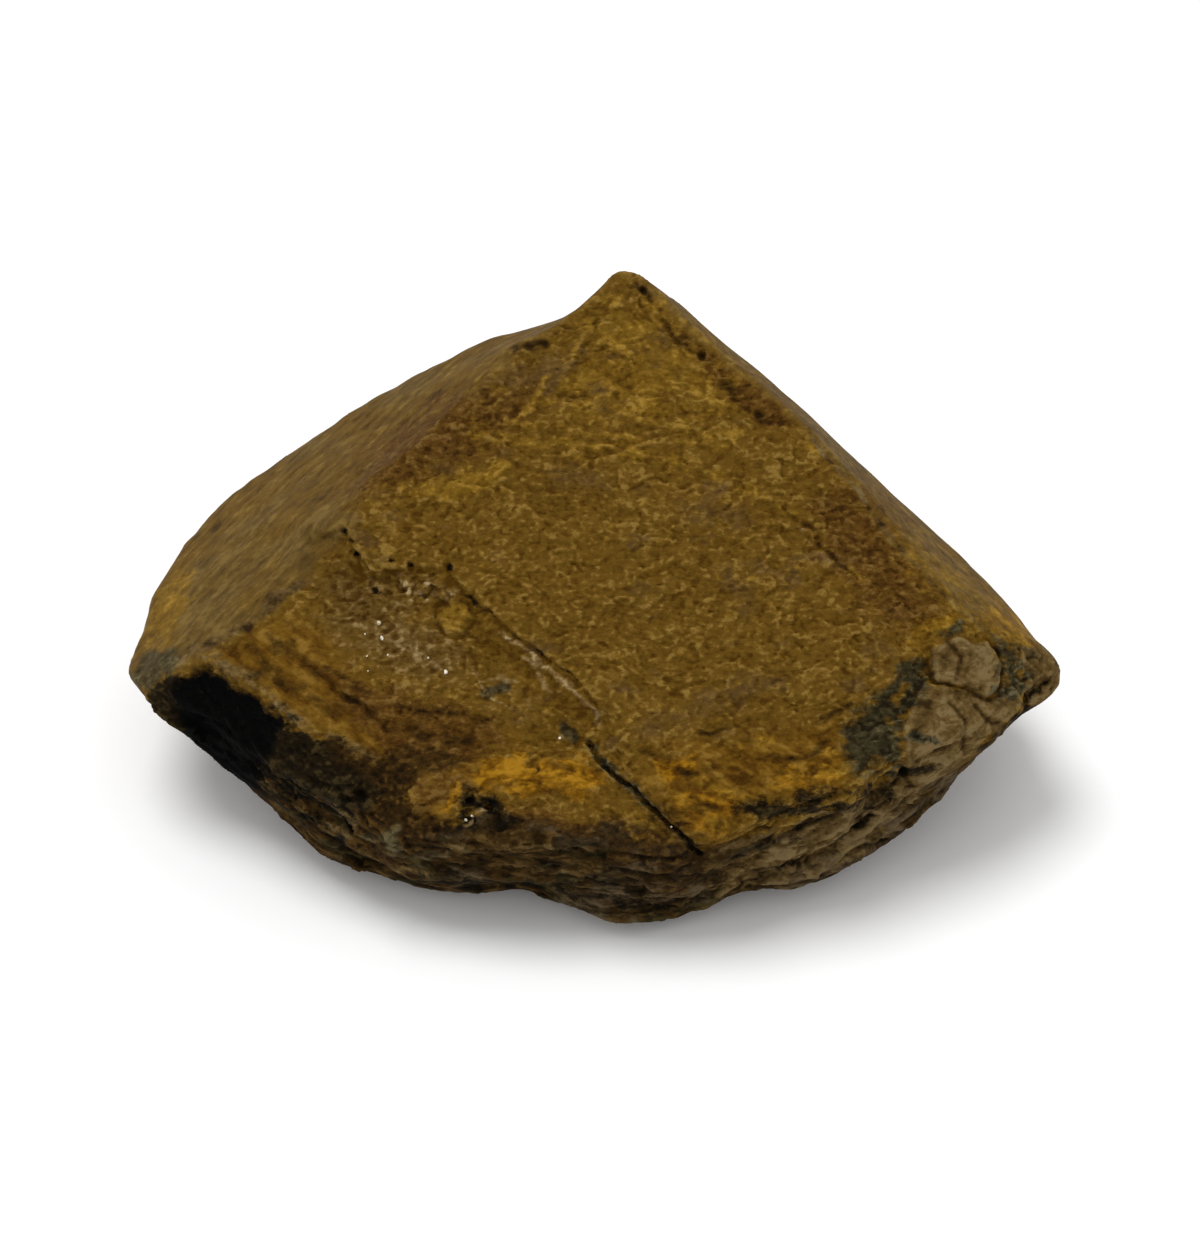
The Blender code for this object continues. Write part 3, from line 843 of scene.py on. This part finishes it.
def lay_minerals_and_painted_light(mesh):
    """Stores how far each mineral, with the painted shade and highlight laid among them, covers each point,
    as attributes that the finish reads.
    """
    places, facings = read_places(mesh)
    seen = seen_share(places, facings)
    plain_spots = to_image(places)
    spots = drifted(places, plain_spots)
    broken = surface_kinds(places, facings, plain_spots)[1]
    for order, (mineral, marks) in enumerate(MINERALS_AND_PAINTED_LIGHT.items()):
        if mineral == "layered":
            behind = broken
        else:
            seed = HIDDEN_PATCHES.seed + HIDDEN_SEED_STEP * order
            behind = smooth_step(fractal(places, HIDDEN_PATCHES._replace(seed=seed)), *HIDDEN_FROM)
        store(mesh, mineral, most_cover(spots, marks) * seen + behind * (1.0 - seen))


# Finishes.

def chart(*colours):
    """A paint chart's colours, 0 to 255, as the linear ones that a shader takes."""
    made = []
    for colour in colours:
        parts = [part / 255.0 for part in colour]
        linear = [part / 12.92 if part <= 0.04045 else ((part + 0.055) / 1.055) ** 2.4 for part in parts]
        made.append((*linear, 1.0))
    return made


# A noise of a finish: its wave lengths in millimetres, and how it is made.
WEAVE_DEFAULTS = (3.0, 0.55, 0.0, LAYER_AXES)
Weave = namedtuple("Weave", "lengths detail roughness distortion axes", defaults=WEAVE_DEFAULTS)


class Amount:
    """A number that changes over a surface: sums on it add the nodes that work them out."""

    def __init__(self, finish, socket):
        self.finish = finish
        self.socket = socket

    def maths(self, operation, *values):
        made = self.finish.node("ShaderNodeMath", {"operation": operation}, dict(enumerate(values)))
        return Amount(self.finish, made.outputs[0])

    def __add__(self, other):
        return self.maths("ADD", self, other)

    __radd__ = __add__

    def __sub__(self, other):
        return self.maths("SUBTRACT", self, other)

    def __rsub__(self, other):
        return self.maths("SUBTRACT", other, self)

    def __mul__(self, other):
        return self.maths("MULTIPLY", self, other)

    __rmul__ = __mul__

    def rising(self, low, high):
        """0 below low, 1 above high, and smooth between them."""
        made = self.finish.node(
            "ShaderNodeMapRange",
            {"interpolation_type": "SMOOTHSTEP"},
            {"Value": self, "From Min": low, "From Max": high, "To Min": 0.0, "To Max": 1.0},
        )
        return Amount(self.finish, made.outputs["Result"])


class Finish:
    """A material in the making."""

    def __init__(self, name):
        self.material = bpy.data.materials.new(name)
        self.material.use_nodes = True
        self.tree = self.material.node_tree
        self.surface = self.tree.nodes["Principled BSDF"]
        self.place = self.node("ShaderNodeTexCoord", {}, {}).outputs["Object"]

    def node(self, kind, settings, inputs):
        made = self.tree.nodes.new(kind)
        for name, value in settings.items():
            if name == "stops":
                self.set_stops(made.color_ramp, value)
            else:
                setattr(made, name, value)
        for key, value in inputs.items():
            self.feed(made.inputs[key], value)
        return made

    def set_stops(self, ramp, stops):
        while len(ramp.elements) < len(stops):
            ramp.elements.new(1.0)
        for element, (position, colour) in zip(ramp.elements, stops):
            element.position = position
            element.color = colour

    def feed(self, socket, value):
        if isinstance(value, Amount):
            value = value.socket
        if isinstance(value, bpy.types.NodeSocket):
            self.tree.links.new(value, socket)
        else:
            socket.default_value = value

    def laid(self, lengths, axes=LAYER_AXES):
        """Places along three axes, as a share of three lengths."""
        turn = Matrix(axes).transposed().to_euler()
        return self.node(
            "ShaderNodeMapping",
            {"vector_type": "TEXTURE"},
            {"Vector": self.place, "Rotation": turn, "Scale": [size * MM for size in lengths]},
        ).outputs["Vector"]

    def noise(self, weave):
        made = self.node("ShaderNodeTexNoise", {}, {
            "Vector": self.laid(weave.lengths, weave.axes), "Scale": 1.0, "Detail": weave.detail,
            "Roughness": weave.roughness, "Distortion": weave.distortion,
        })
        return Amount(self, made.outputs["Fac"])

    def grains(self, lengths):
        """Packed grains: how near each place is to a grain's heart, and the grain's own shade."""
        made = self.node("ShaderNodeTexVoronoi", {}, {"Vector": self.laid(lengths), "Scale": 1.0})
        return 1.0 - Amount(self, made.outputs["Distance"]), Amount(self, made.outputs["Color"])

    def attribute(self, name):
        return Amount(self, self.node("ShaderNodeAttribute", {"attribute_name": name}, {}).outputs["Fac"])

    def shades(self, tone, colours):
        """Colours from dark to light, evenly spread over the usual range of a noise."""
        low, high = 0.33, 0.67
        step = (high - low) / (len(colours) - 1)
        stops = [(low + step * index, colour) for index, colour in enumerate(colours)]
        return self.node("ShaderNodeValToRGB", {"stops": stops}, {"Fac": tone}).outputs["Color"]

    def mix(self, under, over, share):
        return self.node("ShaderNodeMix", {"data_type": "RGBA"}, {0: share, 6: under, 7: over}).outputs[2]

    def wear(self, settings):
        for name, value in settings.items():
            self.feed(self.surface.inputs[name], value)


# Stone colours from dark to light, as a paint chart gives them.
JASPER = chart((71, 46, 6), (88, 63, 15), (100, 73, 22), (129, 101, 45))
DUSK = chart((66, 47, 20), (84, 62, 30), (98, 74, 38))
SATIN = chart((60, 42, 11), (89, 65, 22), (101, 76, 28), (128, 101, 46))
SATIN_DUSK = chart((60, 44, 17), (85, 65, 28), (112, 89, 44))
FAWN_AND_PAINTED_HIGHLIGHT = chart((40, 27, 9), (76, 58, 28), (96, 76, 42), (118, 99, 64))
STRAW_AND_PAINTED_HIGHLIGHT = chart((80, 54, 9), (103, 75, 17), (122, 92, 26), (152, 118, 44))
OCHRE = chart((44, 26, 3), (88, 56, 5), (124, 84, 8), (160, 114, 22))
AMBER = chart((60, 35, 3), (86, 57, 9), (104, 74, 18), (128, 96, 36))
UMBER_AND_PAINTED_SHADE = chart((44, 25, 4), (68, 43, 10), (88, 60, 20), (112, 85, 42))
SOOT_AND_PAINTED_SHADE = chart((2, 2, 1), (9, 7, 3), (19, 15, 7), (46, 37, 19))
BLACK_AND_PAINTED_SHADOW = chart((1, 1, 1), (1, 1, 1), (3, 3, 2), (13, 12, 9))
SLATE = chart((18, 17, 10), (39, 37, 23), (56, 53, 35), (86, 79, 56))
SAGE = chart((30, 26, 12), (52, 45, 26), (68, 60, 38), (94, 86, 60))
BARK_AND_PAINTED_SHADE = chart((18, 10, 2), (34, 21, 5), (50, 33, 9), (76, 54, 20))
CREAM_AND_PAINTED_HIGHLIGHT = chart((96, 72, 36), (134, 110, 70), (172, 152, 114))
DRUSE = chart((62, 41, 8), (82, 60, 22), (97, 75, 38), (134, 110, 72))
LAYERS = chart((13, 7, 1), (36, 23, 5), (54, 38, 13), (82, 62, 32))
LAYERS_GREEN = chart((12, 10, 2), (36, 30, 12), (60, 52, 27))
LAYERS_FAWN = chart((24, 17, 7), (62, 49, 31), (98, 83, 62))
QUARTZ = chart((196, 178, 146), (238, 230, 214))
PAPER = (0.94, 0.94, 0.94, 1.0), (0.96, 0.96, 0.96, 1.0)

WEAVES = {
    "grain": Weave((0.36, 0.28, 0.28), 2.0, 0.6),
    "crumbs": Weave((1.3, 0.8, 0.8), 4.0, 0.6),
    "cloud": Weave((7.0, 5.0, 5.0), 4.0),
    "dusk": Weave((3.5, 2.5, 2.5), 5.0, 0.6),
    "fibres": Weave((2.6, 2.6, 0.55), 5.0, 0.62, 0.8),
    "patches": Weave((2.0, 1.3, 1.0), 3.0, 0.6, 0.5),
    "ragged": Weave((1.5, 1.1, 0.8), 6.0, 0.7),
    "brushed": Weave((2.0, 0.65, 0.65), 6.0, 0.65, axes=BEVEL_AXES),
    "rubbed": Weave((3.0, 0.8, 0.8), 5.0, axes=RIM_AXES),
}
FLAKE_LENGTHS = (0.60, 0.40, 0.40)

# Single grains: their lengths, how near to its heart a grain begins and is full, and the shades that show.
Speckle = namedtuple("Speckle", "lengths heart shade")
STRAW_SPECKS = Speckle((1.3, 0.9, 0.9), (0.74, 0.86), (0.55, 0.65))
CREAM_CRUMBS = Speckle((0.55, 0.55, 0.55), (0.45, 0.65), (0.35, 0.5))

# How much grit (the finest grain, with painted highlight on crests and painted shade in crevices) and each
# other noise sway the tone of each kind of stone.
TONES = {
    "jasper": (1.0, {"flake": 0.17, "crumbs": 0.40, "cloud": 0.20}),
    "plain": (1.0, {"flake": 0.17, "crumbs": 0.40}),
    "layer": (0.4, {"fibres": 0.90, "patches": 0.70}),
    "bevel": (0.5, {"brushed": 0.65, "patches": 0.40, "cloud": 0.30}),
    "rim": (0.3, {"rubbed": 0.75, "patches": 0.75}),
    "ochre": (0.6, {"crumbs": 0.55, "patches": 1.10}),
    "block": (0.8, {"crumbs": 0.50, "patches": 0.90}),
    "straw": (0.9, {"crumbs": 0.45, "patches": 0.45}),
}
# Painted highlight and shade: how far the stored relief and crests make raised places and crests lighter
# and hollows and crevices darker, and how far the grain sways the tone.
PAINTED_RELIEF_SHADE, PAINTED_CREST_SHADE, GRAIN_SWAY = 0.12, 0.26, 0.34

# Clouds of colour: where in a noise they begin and are full, and how strongly they then cover.
Cloud = namedtuple("Cloud", "start full strength")
DUSK_CLOUDS = Cloud(0.56, 0.68, 0.8)
GREEN_CLOUDS = Cloud(0.50, 0.58, 0.9)
FAWN_CLOUDS = Cloud(0.50, 0.56, 0.7)
SATIN_CLOUDS = Cloud(0.45, 0.65, 1.0)

# A coat of a mineral: the tone that shades it, its colours, how soft its edge is and how far it wanders,
# and how strongly it covers. Below the fringe of a mineral's cover, its coat fades out.
Coat = namedtuple("Coat", "mineral tone colours softness wander strength")
DUSK_COAT = Coat("dusk", "plain", DUSK, 0.4, 2.2, 0.8)
# The soot, bark, umber and black coats also lay painted shade, and the fawn, straw and cream coats painted
# highlight.
UPPER_COATS = [
    Coat("amber", "rim", AMBER, 0.25, 1.8, 0.9),
    Coat("umber", "plain", UMBER_AND_PAINTED_SHADE, 0.25, 2.2, 0.85),
    Coat("druse", "plain", DRUSE, 0.4, 2.2, 0.8),
    Coat("fawn", "block", FAWN_AND_PAINTED_HIGHLIGHT, 0.14, 1.2, 0.95),
    Coat("ochre", "ochre", OCHRE, 0.25, 2.4, 0.8),
    Coat("slate", "plain", SLATE, 0.18, 2.2, 0.9),
    Coat("soot", "plain", SOOT_AND_PAINTED_SHADE, 0.2, 2.2, 0.95),
    Coat("straw", "straw", STRAW_AND_PAINTED_HIGHLIGHT, 0.3, 3.0, 0.75),
    Coat("bark", "plain", BARK_AND_PAINTED_SHADE, 0.3, 1.6, 0.85),
    Coat("sage", "plain", SAGE, 0.25, 1.6, 0.9),
    Coat("black", "plain", BLACK_AND_PAINTED_SHADOW, 0.2, 1.0, 1.0),
    Coat("cream", "plain", CREAM_AND_PAINTED_HIGHLIGHT, 0.25, 1.6, 0.8),
]
FRINGE = 0.25


def stone_finish():
    finish = Finish("rough_jasper")
    noise = {name: finish.noise(weave) for name, weave in WEAVES.items()}
    _, noise["flake"] = finish.grains(FLAKE_LENGTHS)
    # Every tone is painted lighter on raised places and crests and darker in hollows and crevices: painted
    # highlight and shade.
    relief_shaded_middle = 0.5 + PAINTED_RELIEF_SHADE * (finish.attribute("relief") - 0.5)
    grit_and_crest_shade = PAINTED_CREST_SHADE * (finish.attribute("crest") - 0.5) + GRAIN_SWAY * (noise["grain"] - 0.5)
    tones = {}
    for kind, (grit_and_crest_share, shares) in TONES.items():
        tones[kind] = relief_shaded_middle + grit_and_crest_share * grit_and_crest_shade
        for name, share in shares.items():
            tones[kind] += share * (noise[name] - 0.5)

    def cover(mineral, softness, wander):
        share = finish.attribute(mineral)
        edge = share + (noise["ragged"] - 0.5) * wander
        return edge.rising(0.5 - softness, 0.5 + softness) * share.rising(0.0, FRINGE)

    def shades(tone, colours):
        return finish.shades(tones[tone], colours)

    def clouded(under, over, weave, cloud):
        return finish.mix(under, over, noise[weave].rising(cloud.start, cloud.full) * cloud.strength)

    def speckled(speckle):
        heart, shade = finish.grains(speckle.lengths)
        return heart.rising(*speckle.heart) * shade.rising(*speckle.shade)

    def coated(under, coat):
        share = cover(coat.mineral, coat.softness, coat.wander) * coat.strength
        return finish.mix(under, shades(coat.tone, coat.colours), share)

    colour = clouded(shades("jasper", JASPER), shades("plain", DUSK), "dusk", DUSK_CLOUDS)
    colour = coated(colour, DUSK_COAT)
    colour = finish.mix(colour, shades("plain", STRAW_AND_PAINTED_HIGHLIGHT), speckled(STRAW_SPECKS) * 0.5)

    layered = cover("layered", softness=0.15, wander=1.6)
    strata = clouded(shades("layer", LAYERS), shades("layer", LAYERS_GREEN), "dusk", GREEN_CLOUDS)
    strata = clouded(strata, shades("layer", LAYERS_FAWN), "cloud", FAWN_CLOUDS)
    colour = finish.mix(colour, strata, layered)

    satin = cover("satin", softness=0.3, wander=1.2)
    tans = clouded(shades("bevel", SATIN), shades("bevel", SATIN_DUSK), "cloud", SATIN_CLOUDS)
    colour = finish.mix(colour, tans, satin)
    for coat in UPPER_COATS:
        colour = coated(colour, coat)
    crumbs = cover("crumbs", softness=0.25, wander=1.2) * (0.1 + 0.8 * speckled(CREAM_CRUMBS))
    colour = finish.mix(colour, shades("plain", CREAM_AND_PAINTED_HIGHLIGHT), crumbs)

    height = 0.5 * noise["grain"] + 0.25 * noise["flake"] + 0.4 * noise["crumbs"]
    height = height * (1.0 - 0.4 * layered) + layered * (0.7 * noise["fibres"])
    height = height * (1.0 - 0.7 * satin)
    bump = finish.node("ShaderNodeBump", {}, {"Strength": 0.9, "Distance": 0.22 * MM, "Height": height})
    finish.wear({
        "Base Color": colour,
        "Roughness": 0.88 - 0.2 * satin + 0.2 * (noise["grain"] - 0.5),
        "Specular IOR Level": 0.05,
        "Normal": bump.outputs["Normal"],
    })
    return finish.material


def quartz_finish():
    finish = Finish("druse_quartz")
    cloudy = finish.noise(Weave((0.3, 0.3, 0.3)))
    finish.wear({
        "Base Color": finish.shades(cloudy, QUARTZ),
        "Roughness": 0.1 + 0.3 * cloudy,
        "Specular IOR Level": 0.6,
    })
    return finish.material


def floor_finish():
    finish = Finish("pale_floor")
    paper = finish.noise(Weave((40.0, 40.0, 40.0)))
    finish.wear({
        "Base Color": finish.shades(paper, PAPER),
        "Roughness": 0.9,
        "Specular IOR Level": 0.1,
    })
    return finish.material


# The stone, its quartz, floor, light and camera.

def take_place(piece):
    """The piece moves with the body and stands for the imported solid."""
    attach(piece, "root")
    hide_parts(NODE)


def make_stone():
    stone = fine_stone()
    add_relief(stone.data)
    thin_out(stone)
    lay_minerals_and_painted_light(stone.data)
    stone.data.materials.clear()
    stone.data.materials.append(stone_finish())
    stone.data.shade_smooth()
    take_place(stone)
    return stone


# Quartz points: the pixel where each one sits, and its size in millimetres.
SPARKLES = {
    (379, 623): 0.28, (382, 638): 0.22, (365, 634): 0.12, (388, 655): 0.15, (367, 656): 0.12,
    (428, 658): 0.18, (446, 672): 0.30, (368, 671): 0.10, (466, 820): 0.20, (472, 816): 0.16,
    (671, 827): 0.16, (560, 738): 0.20,
}

# The form of a quartz point, as shares of its size.
POINT_SIDES = 6
POINT_RADIUS = 0.5
POINT_ROOT, POINT_NECK = -0.6, 0.35
POINT_TIP = (0.08, 0.0, 0.85)
POINT_LEAN = 0.6


def aim_ray(spot):
    """The direction in which the camera sees a pixel."""
    across = (spot[0] - IMAGE_WIDTH / 2) / FOCAL_PIXELS
    up = (IMAGE_HEIGHT / 2 - spot[1]) / FOCAL_PIXELS
    return Vector(AHEAD + across * RIGHT + up * UP).normalized()


def add_crystal(shell, foot, facing, size, chance):
    """A six-sided quartz point, half sunk in the stone."""
    lean = Vector([chance.uniform(-POINT_LEAN, POINT_LEAN) for _ in range(3)])
    axis = (facing + lean).normalized()
    turn = axis.to_track_quat("Z", "X").to_matrix().to_4x4() @ Matrix.Rotation(chance.uniform(0, 1), 4, "Z")
    place = Matrix.Translation(foot) @ turn @ Matrix.Diagonal((size, size, size, 1.0))
    sides = range(POINT_SIDES)
    angles = [side * math.pi / 3 for side in sides]
    ring = [(POINT_RADIUS * math.cos(angle), POINT_RADIUS * math.sin(angle)) for angle in angles]
    low = [shell.verts.new(place @ Vector((x, y, POINT_ROOT))) for x, y in ring]
    high = [shell.verts.new(place @ Vector((x, y, POINT_NECK))) for x, y in ring]
    tip = shell.verts.new(place @ Vector(POINT_TIP))
    for side in sides:
        after = (side + 1) % POINT_SIDES
        shell.faces.new((low[side], low[after], high[after], high[side]))
        shell.faces.new((high[side], high[after], tip))
    shell.faces.new(reversed(low))


def make_quartz(stone):
    chance = random.Random(CRYSTAL_SEED)
    tree = BVHTree.FromObject(stone, bpy.context.evaluated_depsgraph_get())
    shell = bmesh.new()
    for spot, size in SPARKLES.items():
        foot, facing, _, _ = tree.ray_cast(Vector(EYE) * MM, aim_ray(spot))
        add_crystal(shell, foot, facing, size * MM, chance)
    mesh = bpy.data.meshes.new("quartz_druse")
    shell.to_mesh(mesh)
    shell.free()
    mesh.materials.append(quartz_finish())
    take_place(link(bpy.data.objects.new("quartz_druse", mesh)))


def make_floor():
    mesh = bpy.data.meshes.new("floor")
    reach = FLOOR_HALF_WIDTH * MM
    level = FLOOR_LEVEL * MM
    corners = [(x * reach, y * reach, level) for x, y in ((-1, -1), (1, -1), (1, 1), (-1, 1))]
    mesh.from_pydata(corners, [], [(0, 1, 2, 3)])
    mesh.materials.append(floor_finish())
    link(bpy.data.objects.new("floor", mesh))


def light_studio():
    world = bpy.data.worlds.new("studio")
    bpy.context.scene.world = world
    world.use_nodes = True
    backdrop = world.node_tree.nodes["Background"]
    backdrop.inputs["Color"].default_value = (1.0, 1.0, 1.0, 1.0)
    backdrop.inputs["Strength"].default_value = BACKDROP_STRENGTH
    softbox = bpy.data.lights.new("overhead_softbox", "SUN")
    softbox.energy = SOFTBOX_STRENGTH
    softbox.angle = SOFTBOX_SPREAD
    lamp = link(bpy.data.objects.new("overhead_softbox", softbox))
    lamp.rotation_euler = SOFTBOX_LEAN


def set_camera():
    lens = bpy.data.cameras.new("camera")
    lens.lens = LENS
    lens.sensor_width = SENSOR
    lens.clip_start = 0.01
    lens.clip_end = 10.0
    camera = link(bpy.data.objects.new("camera", lens))
    camera.location = EYE * MM
    camera.rotation_euler = (math.pi / 2 - ELEVATION, 0.0, 0.0)
    bpy.context.scene.camera = camera


set_camera()
light_studio()
make_floor()
make_quartz(make_stone())
bpy.context.scene.view_settings.view_transform = "Standard"
